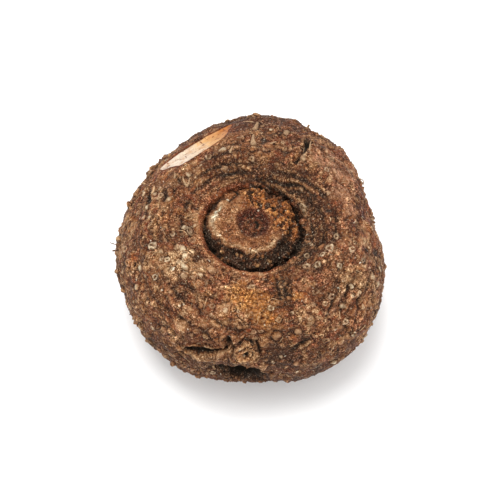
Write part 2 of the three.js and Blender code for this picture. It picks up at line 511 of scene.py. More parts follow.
# Folds of the shoulder: turns in degrees, distances outside the lip, width and depth.
FOLDS = (
    ((150, 136, 117, 98, 80), (13.4, 13.3, 10, 9.6, 7.1), 1.5, 2.4),
    ((138, 122, 104, 90), (19, 17.5, 15.5, 15), 1.2, 1.4),
    ((84, 70, 58, 41, 22), (5.5, 5.5, 7, 11.5, 14), 1.6, 2.8),
    ((66, 50, 34, 18), (12, 14, 18, 20), 1.4, 1.8),
    ((30, 7, 351, 340, 327, 316), (10, 14, 15.5, 12, 9, 7), 1.7, 2.2),
    ((41, 22, 7, 351, 338), (16, 21, 24, 25, 22), 1.3, 1.6),
    ((12, 358, 344, 330), (5, 7, 6.5, 4.5), 1.2, 1.4),
    ((150, 162, 180, 196), (13.4, 12.3, 13.9, 15), 1.2, 1.4),
    ((168, 184, 204, 222), (22, 24, 23, 26), 1.2, 1),
    ((214, 223, 238, 252, 262), (42, 45, 47, 50.5, 53), 1.6, 1.6),
    ((210, 218, 228, 239, 249, 260), (57, 58.9, 58.3, 58.3, 59.1, 60), 1.6, 1.8),
    ((205, 220, 236, 250), (33, 35, 37, 41), 1.3, 1), ((309, 315, 322, 332), (57, 57, 55, 52), 1.9, 2.2),
    ((311, 319, 326, 335), (66, 65.5, 64, 62), 1.9, 2), ((300, 312, 322), (47, 47, 43.5), 1.5, 1.4),
    ((306, 316, 328, 340), (38, 40, 38, 36), 1.3, 1), ((100, 84, 66, 52), (30, 27, 28, 33), 1.4, 1.2),
    ((128, 112, 96), (27, 24, 23), 1.3, 1.2), ((20, 4, 350, 338), (46, 43, 42, 45), 1.5, 1.2),
    ((170, 185, 200), (36, 38, 37), 1.3, 1), ((60, 44, 30), (44, 42, 45), 1.4, 1.2),
)
# Raised rolls of skin: turns, distances outside the lip, width and height.
ROLLS = (
    ((313, 317, 322, 328), (51.5, 51, 49, 47), 2, 1.5),
    ((316, 321, 327, 332), (61.5, 61, 59.5, 58), 2.1, 1.7), ((307, 314, 320), (53, 53.5, 52.5), 1.8, 1.1),
    ((212, 226, 241, 256), (51.5, 52, 52.5, 55), 2.6, 1.2),
    ((242, 249, 255, 259), (72.5, 72.3, 71.5, 69), 2.8, 2.4), ((248, 255, 261), (73, 70, 67), 3, 1.3),
    ((262, 266, 270, 272), (69.3, 70.2, 71.3, 72.1), 1.6, 3.2),
    ((70, 50, 30, 12), (2.5, 3, 5, 7), 1.6, 1.4), ((140, 122, 104), (5.5, 4.5, 4), 2.2, 0.8),
    ((50, 32, 14, 356, 338, 322), (0.6, 1.2, 1.6, 1.4, 0.8, 0.2), 0.9, 1),
    ((36, 22, 8, 354), (4.2, 4.6, 4.4, 3.6), 1, 1.1),
)
# Cracks and gaps: paths in millimetres, width and depth.
CRACKS = (
    (
        ((-50, -101, 84), (-43, -103, 84), (-35, -104, 85), (-27, -104, 87), (-21, -104, 90),
         (-17, -105, 96)), 1.2, 5.6,
    ),
    (((-17.5, -104, 104), (-16, -106, 98), (-14, -107, 93), (-13, -110, 89)), 2, 8),
    (((3, -106, 100), (6, -108, 94), (7, -110, 88)), 1.1, 2.8),
    (((-26, -105, 65), (-15, -105, 60), (-9, -106, 57), (-3, -107, 53), (2, -109, 48)), 4.8, 9),
    (((-36, -107, 70), (-30, -107, 67), (-25, -106, 62)), 2, 4),
    (((37, 46, 121), (41, 52, 121), (44, 60, 119), (45, 70, 114)), 1.7, 6),
    (((30, -107, 88), (37, -103, 93.5), (46, -98.6, 96)), 1.5, 2.4),
    (((-83, 24, 109), (-82, 17, 112), (-82, 10, 114)), 1.8, 4.5),
    (((-68, 20, 120), (-68, 9, 121)), 1.5, 3.6),
    (((-60, 33, 118.5), (-56, 27, 119.5)), 1.4, 2),
    (((-66, -25, 120), (-63, -31, 121)), 1.3, 1.6),
    (((19, -58, 121), (20, -70, 122), (24, -84, 121)), 0.8, 1.4),
    (((23, -57, 121), (24, -66, 122), (27, -80, 121)), 0.8, 1.6),
    (((28, -60, 121), (29, -70, 122), (31, -80, 121)), 0.8, 1.3),
    (((18, -66, 122), (25, -69, 122), (31, -66, 122)), 0.8, 1.3),
    (((19, -76, 122), (26, -74, 122), (31, -78, 122)), 0.8, 1.3),
    (((86, 38, 100), (90, 30, 99)), 1.6, 2),
    (((-47, 74, 108), (-40, 77, 109)), 1.5, 1.6),
    (((66, -66, 115), (61, -76, 112), (56, -86, 107)), 1.3, 2.4),
    (((74, -60, 111), (73, -70, 109), (68, -82, 103)), 1.3, 2.2),
    (((84, -60, 103), (82, -72, 98), (78, -82, 91)), 1.3, 2),
)
# Large single root scars that swell out smoothly: place and radius.
SWELLINGS = (
    ((8, -113, 73), 4.4), ((43, -103, 92), 2.6), ((-9.3, -93, 111.7), 6.5), ((-34.8, -97.7, 101.8), 2.4),
    ((-29.1, -89.4, 112.3), 2.2), ((-69, -43.7, 117.9), 2.8), ((-76.8, -29.8, 116.5), 2.9),
    ((-78.5, 57, 96), 3), ((-92, 30, 105), 2.6), ((28, -112, 70), 3.4), ((70, -64, 111), 3),
    ((-60, -88, 90), 3.6),
)
KNOB = (-4.0, -108.5, 94.5)
KNOB_RADIUS = 10.0
FLAKE_PLACE = 30.2
KNOB_HOLES = (((0, -105, 101), 1.7), ((-4, -111, 95), 1.9))


def smooth_path(corners, step=0.7):
    """Points on the surface along straight stretches, at about that step."""
    corners = settle(corners)
    parts = []
    for start, end in zip(corners[:-1], corners[1:]):
        count = max(int(np.linalg.norm(end - start) / step), 2)
        parts.append(lerp(start, end, np.linspace(0, 1, count, endpoint=False)[:, None]))
    return np.vstack(parts + [corners[-1:]])


def shoulder_path(turn_degrees, distances):
    unwrapped = np.degrees(np.unwrap(np.radians(np.asarray(turn_degrees, float))))
    place = np.linspace(0, len(unwrapped) - 1, 60)
    index = np.arange(len(unwrapped))
    return on_shoulder(np.interp(place, index, unwrapped), np.interp(place, index, distances))


def stroke(path, width, least=0.25):
    """Distance from a path in its own widths, and a strength that wavers along it and fades at its ends."""
    distance, share = path_distance(warped, path)
    ends = np.sin(math.pi * np.clip(share, 0.04, 0.96)) ** 0.4
    return distance / width, ends * np.maximum(waver, least)


def scar_relief():
    q = scar_distance
    rim = bell(q - 0.62, 0.30)
    dome = fade(q, 0.15, 1.2)
    ditch = bell(q - 1.22, 0.22)
    pore = bell(q, 0.28)
    ring = 0.55 * dome + 0.45 * rim - 0.4 * pore
    stub = 1.9 * fade(q, 0.1, 1.0) - 0.5 * pore
    pit = 0.4 * rim - 1.2 * fade(q, 0.05, 0.75)
    profile = np.select([kind == RING, kind == PEARL, kind == STUB], [ring, 1.05 * dome, stub], pit)
    scale = scar_heights[scar_of] * (0.25 + 0.26 * scar_radius) * (1 + 0.9 * smoothstep(outside, 38, 64))
    return scale * profile - 0.30 * scale * ditch * (q < 1.7)


def in_sector(turn, low, high, soft):
    """1 between two turns in degrees, fading over a soft edge."""
    off = np.abs((np.degrees(turn) - (low + high) / 2 + 180) % 360 - 180)
    return fade(off, (high - low - soft) / 2, (high - low + soft) / 2)


def bud_sector(low, high, soft):
    return in_sector(bud_turn, low, high, soft)


# Place inside the stalk scar, measured from the bud in the middle of its button.
from_bud = skin[:, :2] - SCAR_CENTRE - (0, BUTTON_SHIFT)
bud_distance = np.linalg.norm(from_bud, axis=1)
bud_turn = np.arctan2(from_bud[:, 1], from_bud[:, 0])
inside_scar = fade(outside, -3, 1)
# Radius of the button's flat top at 16 even turns.
BUTTON_RIM = (26, 29, 31.5, 32, 31.5, 30, 30, 31, 32.5, 31.5, 28.5, 25.5, 28, 27.5, 25.5, 24.5)
rim_radius = around(BUTTON_RIM, bud_turn) + 1.5 * lumps(8, 46) + 0.8 * lumps(3.5, 47)
past_rim = bud_distance - rim_radius
button = fade(past_rim, -1.4, 2.2) * fade(outside, -6.5, -4.5)
moat = (1 - button) * fade(outside, -3.2, -1.2)
lip = bell(outside - 0.6, 2.6)
crack_line = bell(outside + 3.3 + 0.9 * lumps(6, 48), 1.0)
crack_line *= np.clip(0.9 + 0.9 * lumps(11, 49), 0.2, 1)

# Corky, crumbling part of the button, at its back right, running down into the moat.
cork_edge = 3.0 * lumps(9, 51) + 1.6 * lumps(4, 52)
cork = bud_sector(-20, 104, 20) * smoothstep(bud_distance + cork_edge, 14.5, 16.5)
cork *= fade(outside + 0.5 * cork_edge, -6.5, -4.5)
# Holes in and round the cork, seen from above: middle, radius and depth. The first five run together.
HOLES = (
    ((12, 19), 2.2, 4.5), ((15, 17), 2.8, 6.5), ((18.2, 14.8), 3.2, 7.5), ((21.6, 12.8), 2.9, 7),
    ((24.6, 10.8), 2.2, 5), ((1.3, 17.8), 1.7, 2.6), ((8.2, 18.5), 1.6, 2.6), ((16.4, 2.4), 1.3, 1.8),
    ((28.9, -5.5), 1.6, 2.4), ((34, -14), 2.1, 3), ((25, -1), 1.3, 1.8), ((11.5, 11), 1.2, 1.6),
    ((30.5, 1.5), 1.6, 2.4),
)
# Warts in the moat that stand out from the others.
SINGLE_WARTS = (
    (-11, -39, 120), (4, -46, 116), (-24, -37, 120), (14, -44, 116), (-3, -37, 118), (-33, -30, 118),
)
wandering = wander(skin, 5, 54, 1.3)
hole_depth = np.zeros(len(skin))
# Beside the holes' depth, their near-black painted shade.
hole_shade = np.zeros(len(skin))
for hole_middle, hole_radius, depth in HOLES:
    to_hole = np.linalg.norm(wandering[:, :2] - hole_middle, axis=1)
    falloff = fade(to_hole, 0.75 * hole_radius, 1.15 * hole_radius) * inside_scar
    hole_depth = np.maximum(hole_depth, depth * falloff)
    hole_shade = np.maximum(hole_shade, falloff)

on_skin = smoothstep(outside, 0.0, 5.0)
above = smoothstep(skin[:, 2], 2, 14)  # 0 on the base, so the corm still rests flat
calm = 1 - 0.8 * smoothstep(cut_depth(skin), -7, -1)

# Rings of old leaf scars, then lumps, pebbles and creases.
ring_warp = 2.6 * lumps(30, 1) + 1.1 * lumps(11, 2)
ring_wave = np.abs(np.sin(math.pi * (outside + ring_warp) / SCAR_ROW))
ring_strength = np.clip(0.45 + 1.1 * lumps(36, 3), 0, 1) * fade(outside, 50, 72)
coarse_lumps = 1.9 * layered(32, 2, 5) + 1.5 * layered(12, 2, 8)
fine_lumps = 0.42 * layered(5.5, 3, 12, 0.7)
pebble_first, pebble_second = cells(wander(skin, 9, 16, 2.2), 6.5, 17)
pebbles = np.clip(pebble_second - pebble_first, 0, 0.5) * 2
pebble_strength = np.clip(0.5 + 1.3 * lumps(20, 18), 0, 1)
crease = smoothstep(1 - np.abs(noise(wander(skin, 8, 20, 2.0), 10, 23)), 0.88, 1.0)
small_crease = smoothstep(1 - np.abs(noise(wander(skin, 4, 24, 1.2), 5.0, 27)), 0.84, 1.0)

# Crusty skin is busy, and smooth skin is not.
busy = 0.62 + lumps(24, 14) + 0.5 * lumps(10, 15) + 0.3 * smoothstep(outside, 40, 66)
busy = np.clip(busy, 0.15, 1.3)

relief = coarse_lumps + fine_lumps * busy + 0.9 * (ring_wave - 0.7) * ring_strength
relief += 0.4 * (pebbles - 0.5) * pebble_strength * busy
relief -= 0.6 * crease + 0.3 * small_crease * busy
relief += np.where(scar_distance < 2.2, scar_relief(), 0) * (0.45 + 0.45 * busy)
relief *= on_skin * calm

warped = wander(wander(skin, 9, 30, 1.6), 3.5, 34, 0.7)
waver = np.clip(0.85 + 0.7 * lumps(10, 38), 0.25, 1.3)
# Painted shade in the grooves and cracks, the hollow at the front, and the bud's crack and holes.
gap_shade = np.zeros(len(skin))
roll_light = np.zeros(len(skin))
grooves = [(shoulder_path(*fold[:2]), 0.85 * fold[2], 0.7 * fold[3]) for fold in FOLDS]
grooves += [(smooth_path(corners), width, depth) for corners, width, depth in CRACKS]
for path, width, depth in grooves:
    q, strength = stroke(path, width, 0.25 if depth < 3.5 else 0.8)
    groove = np.clip(1 - q / 1.9, 0, 1) ** 1.2 * strength
    relief += depth * (0.28 * bell(q - 2.4, 1.2) * strength - groove)
    gap_shade = np.maximum(gap_shade, groove * min(0.25 + depth / 4.0, 1.5))
for fold_turns, distances, width, height in ROLLS:
    q, strength = stroke(shoulder_path(fold_turns, distances), width)
    relief += height * bell(q, 1.0) * strength
    roll_light = np.maximum(roll_light, bell(q, 0.9) * strength)
# Painted shade deep in the hollow at the front.
cavity_shade = bell(segment_distance(warped, (-26, -105, 65), (3, -107, 49)), 8.5)
cavity_shade *= np.clip(0.9 + 0.9 * lumps(5, 84), 0.2, 1.1)
gap_shade = np.maximum(gap_shade, 0.85 * cavity_shade)
swell_pale_and_highlight = np.zeros(len(skin))
for centre, radius in SWELLINGS:
    q = reach_from(centre, warped) / radius
    relief += 0.42 * radius * fade(q, 0.2, 1.2) - 0.5 * bell(q - 1.3, 0.25)
    swell_pale_and_highlight = np.maximum(swell_pale_and_highlight, fade(q, 0.5, 1.05) * min(3.0 / radius, 1))

# The offset bud: a crumpled disc with two dark holes, in a dark crack.
knob_distance = reach_from(KNOB, wander(skin, 7, 56, 1.2))
knob = fade(knob_distance, KNOB_RADIUS - 1.6, KNOB_RADIUS + 0.6)
knob_waves = np.sin(2 * math.pi * (knob_distance + 2.6 * lumps(7, 57) + 0.8 * lumps(3, 59)) / 3.8)
knob_relief = 3.0 + 0.75 * knob_waves + 0.9 * bell(knob_distance - 7.4, 1.4)
relief = lerp(relief, 0.3 * relief + knob_relief, knob)
knob_crack = bell(knob_distance - KNOB_RADIUS - 0.8, 1.0)
knob_crack *= np.clip(0.75 + 0.8 * lumps(9, 58), 0.25, 1)
relief -= 2.4 * knob_crack
gap_shade = np.maximum(gap_shade, 0.9 * knob_crack)
for hole_middle, hole_radius in KNOB_HOLES:
    falloff = fade(reach_from(hole_middle, warped) / hole_radius, 0.5, 1.3)
    relief -= 2.6 * falloff
    gap_shade = np.maximum(gap_shade, falloff)

# The stalk scar: a button with faint rings and a crumpled bud, warts down its side, and the crumbling cork.
near_bud = fade(bud_distance + 1.5 * lumps(7, 61), 9.5, 13.5)
bud_waves = bud_distance + 1.6 * lumps(4, 62) + 0.8 * lumps(2.2, 64)
bud_waves = np.sin(2 * math.pi * bud_waves / 2.9 + bud_turn)
relief += 0.9 * (rim_radius - 29) * bell(bud_distance - 31.5, 4.5) * inside_scar
relief += button * (1 - cork) * (0.35 * layered(6, 3, 63, 0.7) + 0.12 * bud_waves)
relief += button * near_bud * (0.8 * layered(3.0, 2, 65, 0.8) + 0.4 * bud_waves)
bud_pit = bell(bud_distance - 3.3, 0.9) * bud_sector(-50, 70, 40)
relief += button * (1.6 * bell(bud_distance, 2.2) - 2.4 * bud_pit)
# A flake that comes loose from the button's rim.
from_flake = bud_distance - FLAKE_PLACE
flake = fade(np.abs(from_flake), 2.6, 3.2) * bud_sector(118, 132, 2)
flake_gap = bell(np.abs(from_flake) - 3.7, 0.6) * bud_sector(115, 135, 3)
flake_gap = np.maximum(flake_gap, bell(from_flake, 3.5) * bud_sector(113, 117, 2))
relief += 0.8 * flake - flake_gap
crumb_distance = cells(wander(skin, 4, 70, 1.6), 4.6, 71)[0]
crumble = 2.8 * (0.55 - crumb_distance) + 1.8 * layered(7, 3, 73, 0.8)
relief += cork * (crumble - 0.8)
relief -= hole_depth
wart_distance = cells(wander(skin, 5, 74, 0.8), 4.2, 75)[0]
warts = np.clip(0.45 - wart_distance, 0, 1) * 2.2
relief += moat * (1 - cork) * (2.2 * warts + 1.5 * layered(4.5, 3, 77, 0.8))
single_warts = np.zeros(len(skin))
for wart in SINGLE_WARTS:
    single_warts = np.maximum(single_warts, fade(reach_from(wart, wandering), 0.9, 2.5))
relief += 1.6 * moat * single_warts
relief -= 1.6 * moat * crack_line
lip_height = 0.9 + 0.35 * lumps(9, 79) + 0.2 * lumps(3, 80)
relief += lip * lip_height * (1 - 0.9 * bud_sector(-40, 80, 40))
ragged = bell(outside + 1, 6) * bud_sector(-55, 105, 40)
relief += ragged * (2.6 * layered(8, 3, 83, 0.75) - 1.0)

points = skin + normals * (relief * above)[:, None]
# The lip and the crack inside it are not quite round.
lip_waver = (1.8 * lumps(17, 81) + lumps(6, 82) + 0.5 * lumps(3, 85)) * bell(outside + 3, 5.5)
points[:, :2] += from_bud / np.maximum(bud_distance, 1)[:, None] * lip_waver[:, None]

# ---- Slice ----

WALL_SHIFT = 1.8
WALL_RUN = (-1.7, 0.6)  # the slice's far wall rises over this stretch

along, away, up = cut_frame()
from_edge = points - (CUT_EDGE_START + CUT_EDGE_END) / 2
knife_marks = np.sin((points @ along) * 1.3 + 1.5 * noise(points, 12, 91))
cut_floor = 0.10 * layers(points, 6, 2, 90) + 0.06 * knife_marks
past_wall = from_edge @ away + WALL_SHIFT - noise(points, 14, 92) - 0.3 * noise(points, 6, 93)
over_floor = from_edge @ up
cut_ends = CUT_REACH / 2 - np.abs(from_edge @ along) * 0.7
cut = np.minimum.reduce([over_floor, -past_wall, cut_ends, CUT_REACH / 2 + past_wall])
fallen = np.clip(over_floor - cut_floor, 0, None) * fade(past_wall, *WALL_RUN) * (cut_ends > 0)
points = points - up * fallen[:, None]

# Below the girth the relief may not reach under the floor.
points[:, 2] = np.maximum(points[:, 2], 0)

# How far each point stands above its surroundings, near and wider.
stands = relief * above
stands_near = stands - smoothed(stands, faces, 3)
stands_wide = stands - smoothed(stands, faces, 24)

# ---- Colours ----


def srgb(*levels):
    share = np.array(levels) / 255
    return np.where(share <= 0.04045, share / 12.92, ((share + 0.055) / 1.055) ** 2.4)


def everywhere(colour):
    return np.tile(colour, (len(skin), 1))


def washed(ground, *washes):
    """Rows of colours under washes: each wash is a colour and how much of it there is."""
    for wash, share in washes:
        ground = blend(ground, wash, share)
    return ground


def mottle(size, seed, low, high, gain=0.7, count=3):
    """Patches of layered noise over the skin, 0 to 1."""
    return smoothstep(layered(size, count, seed, gain), low, high)


BROWN = srgb(124, 90, 68)
TAN = srgb(162, 124, 98)
PALE = srgb(216, 184, 150)
UMBER = srgb(72, 43, 28)
SOOT = srgb(26, 18, 13)
RUST = srgb(138, 72, 44)
ORANGE = srgb(190, 118, 60)
OCHRE = srgb(190, 142, 86)
GREY = srgb(122, 102, 76)
MAUVE = srgb(166, 118, 98)
INK = srgb(50, 54, 66)
PURPLE = srgb(96, 54, 58)
ROSE = srgb(200, 164, 144)
MUD = srgb(88, 68, 48)
ASH = srgb(126, 112, 100)
PITCH = SOOT * 0.5

# Place for noise that runs in streaks round the corm.
FLOW_GIRTH = 60.0
flow = np.stack([outside, FLOW_GIRTH * np.cos(turns), FLOW_GIRTH * np.sin(turns)], 1)
streaks = smoothstep(layers(flow / (1, 3.5, 3.5), 4.0, 2, 111), 0.1, 0.7)
right_side = smoothstep(skin[:, 0] * 0.8 + skin[:, 1] * 0.35 + 14 * lumps(30, 103), 25, 75)
left_side = smoothstep(-skin[:, 0] + 16 * lumps(26, 104), 35, 90)
right_flank = bell(segment_distance(wander(skin, 12, 118, 5.0), (92, -40, 100), (72, -80, 103)), 16)
colour = washed(
    everywhere(BROWN),
    (TAN, mottle(24, 101, -0.45, 0.55, 0.55)),
    (MAUVE, 0.6 * right_side * smoothstep(skin[:, 2], 60, 105)),
    (PALE, 0.4 * right_flank * mottle(9, 117, -0.3, 0.5, 0.75)),
    (GREY, 0.35 * left_side),
    (UMBER, 0.78 * mottle(19, 105, -0.15, 0.75, 0.75, 4)),
    (UMBER * 0.8, 0.7 * mottle(6, 106, 0.15, 0.7, 0.75)),
    (MAUVE, 0.5 * mottle(14, 115, 0.1, 0.6)),
    (RUST, 0.5 * mottle(7, 107, 0.3, 0.8)),
    (PALE, 0.65 * mottle(6.5, 109, 0.38, 0.95, 0.75)),
    (PALE, 0.55 * mottle(16, 110, 0.1, 0.8)),
    (UMBER, 0.4 * streaks),
    (OCHRE, 0.3 * mottle(9, 113, 0.35, 0.9)),
)

# Patches: middle, radius, colour, strength. The two of soot low at the front are painted shade in the hollow
# there.
PATCHES = (
    ((-8, -76, 120), 14, OCHRE, 0.75), ((8, -84, 118), 13, OCHRE, 0.75), ((22, -60, 121), 10, OCHRE, 0.6),
    ((34, -76, 120), 7, OCHRE, 0.6), ((12, -92, 112), 12, OCHRE, 0.45), ((23, -64, 122), 8, UMBER, 0.85),
    ((25, -73, 122), 8.5, UMBER, 0.85), ((27, -82, 121), 5.5, UMBER, 0.7),
    ((-52, -46, 122), 15, PALE, 0.42), ((-36, -50, 122), 9, PALE, 0.35), ((-95, -34, 100), 9, ORANGE, 0.6),
    ((-40, -44, 121), 6.5, UMBER * 0.8, 0.9), ((-54, -44, 122), 12, PALE, 0.4),
    ((-49, -31, 122), 5, RUST, 0.6), ((83, -9, 113), 7, PURPLE, 0.7), ((88, 3, 110), 8, PURPLE, 0.7),
    ((46, 45, 122), 9, PALE, 0.4), ((61, 51, 119), 12, ROSE, 0.5), ((72, 36, 117), 13, ROSE, 0.55),
    ((72, 15, 119), 11, ROSE, 0.5), ((80, 2, 115), 8, ROSE, 0.5), ((89, -11, 110), 6, PALE, 0.45),
    ((68, -74, 111), 12, ROSE, 0.35), ((62, -20, 120.5), 10, UMBER, 0.7), ((48, -34, 120.5), 9, UMBER, 0.6),
    ((80, -75, 99), 15, ORANGE, 0.32), ((72, -58, 111), 9, PALE, 0.4), ((83, -58, 104), 9, PALE, 0.35),
    ((20, -50, 119), 8, UMBER, 0.5), ((-20, 60, 120), 12, PALE, 0.22), ((5, 60, 120), 10, PALE, 0.22),
    ((40, 30, 119), 16, UMBER, 0.5), ((52, 10, 120), 13, UMBER, 0.5), ((-26, 46, 121), 15, UMBER, 0.45),
    ((-55, 30, 120), 16, UMBER, 0.45), ((0, 95, 104), 30, UMBER, 0.4), ((-14, -105, 60), 13, SOOT, 0.9),
    ((0, -107, 52), 11, SOOT, 0.88), ((-28, -104, 64), 11, UMBER, 0.85), ((30, -106, 74), 12, UMBER, 0.7),
    ((20, -104, 86), 12, UMBER, 0.75), ((-30, -107, 81), 9, ASH, 0.7), ((22, -106, 93), 11, MUD, 0.7),
    ((16, -111, 82), 9, MUD, 0.6), ((25, -71, 122), 9, MUD * 0.6, 0.85), ((-48, -98, 70), 12, UMBER, 0.6),
    ((-16, -110, 76), 9, UMBER, 0.6), ((-40, -106, 78), 16, UMBER, 0.55), ((20, -107, 82), 18, UMBER, 0.4),
    ((52, -100, 76), 16, UMBER, 0.3),
)
# Blue-black stains: middle and radius.
STAINS = (
    ((18, 74, 117), 3.5), ((22, 74, 117), 3.5), ((10, 67, 119), 3.4), ((7, 63, 120), 2.6),
    ((57, 60, 114), 2.8), ((60, -2, 120), 3.2), ((45, 14, 118), 2.6), ((91, -28, 108), 2.8),
    ((99, -25, 97), 4), ((87, -39, 110), 3.2),
)
blurred = wander(wander(skin, 9, 120, 4.5), 3.2, 124, 2.0)
for centre, radius, patch, strength in PATCHES:
    reach = reach_from(centre, blurred)
    colour = blend(colour, patch, strength * fade(reach, 0.55 * radius, 1.15 * radius))

# Painted shade on the lower half, darkest at the front; the funnel above the moat is darker at its right, a
# band of near-black mottled folds runs at the right of the lip, a thin pale line runs along the lip at the
# left and front, and the back is darker.
lower_shade = fade(skin[:, 2] + 6 * lumps(16, 128), 42, 92)
funnel_dark = in_sector(turns, -62, 135, 50) * bell(outside - 8, 14) * smoothstep(lumps(9, 130), -0.9, 0.3)
right_fold = in_sector(turns, -60, 105, 40) * bell(outside - 1 - 3.0 * lumps(12, 133), 6.0)
lip_line = bell(outside - 2.4 - 1.2 * lumps(12, 132), 0.8) * in_sector(turns, 150, 330, 40)
colour = washed(
    colour,
    (UMBER * 0.9, (0.32 + 0.36 * smoothstep(-skin[:, 1], 50, 105)) * lower_shade),
    (srgb(62, 36, 24), 0.85 * funnel_dark * on_skin),
    (srgb(126, 78, 52), 0.75 * lip * (1 - 0.6 * in_sector(turns, -50, 100, 40))),
    (SOOT, 0.95 * right_fold * mottle(6, 134, -0.7, 0.15, 0.8)),
    (PALE, 0.45 * lip_line),
    (UMBER, 0.6 * smoothstep(skin[:, 1] + 12 * lumps(26, 131), 45, 95)),
)

# Stalk scar: the button and its bud, the moat round it, and the cork.
# Painted highlight along the button's rim at its left and front.
rim_highlight = bell(past_rim + 1.8, 1.5) * bud_sector(140, 330, 30) * np.clip(0.75 + 0.8 * lumps(5, 146), 0, 1.1)
bud_heart = fade(bud_distance, 5.5, 8.5) * mottle(3, 143, -0.5, 0.2, 0.8, 2)
button_colour = washed(
    everywhere(srgb(150, 110, 80)),
    (srgb(190, 150, 116), mottle(6, 140, -0.3, 0.7)),
    (srgb(112, 72, 48), 0.6 * mottle(8, 142, 0.0, 0.7)),
    (srgb(108, 58, 42), 0.95 * near_bud),
    # Darker in the troughs of the bud's crumples, partly painted shade; the pale specks after it are partly
    # painted highlight.
    (srgb(40, 22, 16), near_bud * smoothstep(layered(4, 3, 145, 0.8) - 0.35 * bud_waves, -0.1, 0.6)),
    (srgb(190, 150, 120), 0.6 * near_bud * mottle(3, 147, 0.35, 0.9, 0.8, 2)),
    (srgb(92, 38, 22), 0.9 * bell(bud_distance - 11.5, 2.6) * bud_sector(-60, 165, 40)),
    (srgb(156, 112, 84), 0.75 * bud_heart),
    # Near-black painted shade in the bud's eye.
    (srgb(12, 8, 6), 1.2 * bell(bud_distance - 3.6, 1.0) * bud_sector(-50, 70, 40)),
    (srgb(130, 76, 54), 0.8 * bell(bud_distance, 2.0)),
    # Painted highlight along the rim, brightest in a thin line at the left.
    (srgb(228, 200, 168), 0.62 * rim_highlight),
    (srgb(250, 236, 214), 0.9 * bell(past_rim + 2.2, 0.55) * bud_sector(152, 180, 12)),
)
# In the moat the warts are paler, and their tops and the single warts palest: partly their own colour, partly
# painted highlight.
wart_pale_and_highlight = smoothstep(0.34 - wart_distance, 0.0, 0.16) * smoothstep(lumps(9, 151), -0.1, 0.5)
moat_colour = washed(
    everywhere(srgb(74, 50, 36)),
    (srgb(160, 118, 82), smoothstep(warts + 0.9 * lumps(5, 148), 0.3, 1.1)),
    (srgb(38, 27, 20), mottle(4, 149, 0.0, 0.7, 0.8)),
    (srgb(196, 160, 122), 0.75 * wart_pale_and_highlight),
    (SOOT, 0.55 * bud_sector(-70, 100, 30) * smoothstep(lumps(6, 153), -0.6, 0.4)),
    (SOOT, 0.6 * bud_sector(150, 215, 30)),
    # Near-black painted shade in the crack round the button.
    (PITCH, 0.95 * crack_line),
    (srgb(206, 172, 134), 0.85 * single_warts),
)
cork_colour = washed(
    everywhere(srgb(154, 108, 68)),
    (srgb(216, 164, 108), mottle(5, 150, -0.3, 0.8, 0.75)),
    # Painted shade in the gaps between the crumbs.
    (srgb(44, 26, 17), 0.85 * smoothstep(crumb_distance + 0.6 * lumps(3, 152), 0.54, 0.72)),
)
colour = washed(
    colour,
    (button_colour * (0.82, 0.86, 0.9), button),
    (moat_colour, moat),
    (srgb(150, 110, 76), 0.8 * flake),
    # Painted shade in the gaps round the flake.
    (SOOT, 0.85 * flake_gap * inside_scar),
    (cork_colour, cork),
    # Near-black painted shade in the holes.
    (PITCH, hole_shade),
    # The offset bud, with painted shade in the troughs of its folds; the single swellings, pale partly as
    # scar tissue and partly as painted highlight; and the rolls, paler along their crests.
    (srgb(196, 156, 118), 0.9 * knob),
    (UMBER, 0.8 * knob * smoothstep(-knob_waves, 0.3, 1.0)),
    (PALE, 0.55 * swell_pale_and_highlight),
    (PALE, 0.35 * roll_light * on_skin),
    # Painted shade in the low places and broad hollows, partly dirt too, near-black painted shade in the gaps
    # and painted shade in the creases; painted highlight on the high places, partly wear too.
    (SOOT, 0.8 * smoothstep(-stands_near, 0.12, 0.6)),
    (UMBER * 0.7, 0.6 * smoothstep(-stands_wide, 0.2, 1.5) * on_skin),
    (PALE, 0.5 * smoothstep(stands_near, 0.08, 0.5) * on_skin),
    (PITCH, np.clip(1.15 * gap_shade, 0, 1) ** 0.6),
    (UMBER * 0.7, 0.6 * on_skin * calm * np.maximum(crease, 0.7 * small_crease)),
)

smear = mottle(5, 136, -0.45, 0.1, 0.8)
smeared = wander(wander(skin, 8, 127, 1.8), 2.6, 129, 1.2)
for centre, radius in STAINS:
    stain = fade(reach_from(centre, smeared), 0.5 * radius, 1.3 * radius)
    colour = blend(colour, INK, 0.92 * stain * smear)

# Scar paint for the shader: strength of the light rim, of the dark pore and of the pale dome, and a mask.
buried = np.clip(0.7 + 0.9 * lumps(14, 160) + 0.6 * noise(scar_centres, 3, 161)[scar_of], 0.1, 1)
buried = np.where(scar_of < singled, 1, buried)  # soil hides some of the scars
scar_mask = fade(scar_distance, 1.25, 1.55) * on_skin * (cut < -0.5) * (1 - 0.8 * knob)
scar_mask = scar_mask * buried * (1 - 0.9 * np.clip(gap_shade, 0, 1))
second_tone = (tone * 7.77) % 1.0
kinds = [kind == RING, kind == PEARL, kind == STUB]
rim_paint = np.select(kinds, [0.45 + 0.5 * tone, 0.3, 0.4 + 0.3 * tone], 0.3 + 0.4 * tone)
pore_paint = np.select(kinds, [0.1 + 0.85 * second_tone, 0.0, 0.7], 0.95)
dome_paint = np.select(kinds, [0.45 * second_tone, 0.35 + 0.6 * second_tone, 0.1], 0.0)

# ---- Mesh objects ----

box_low, box_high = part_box("corm")
to_origin = (np.array(box_low) + box_high) / 2 / MM - middle
to_origin[2] = 0.0  # the form already rests on the ground


def put(name, data):
    """A new object in the scene."""
    thing = bpy.data.objects.new(name, data)
    bpy.context.scene.collection.objects.link(thing)
    return thing


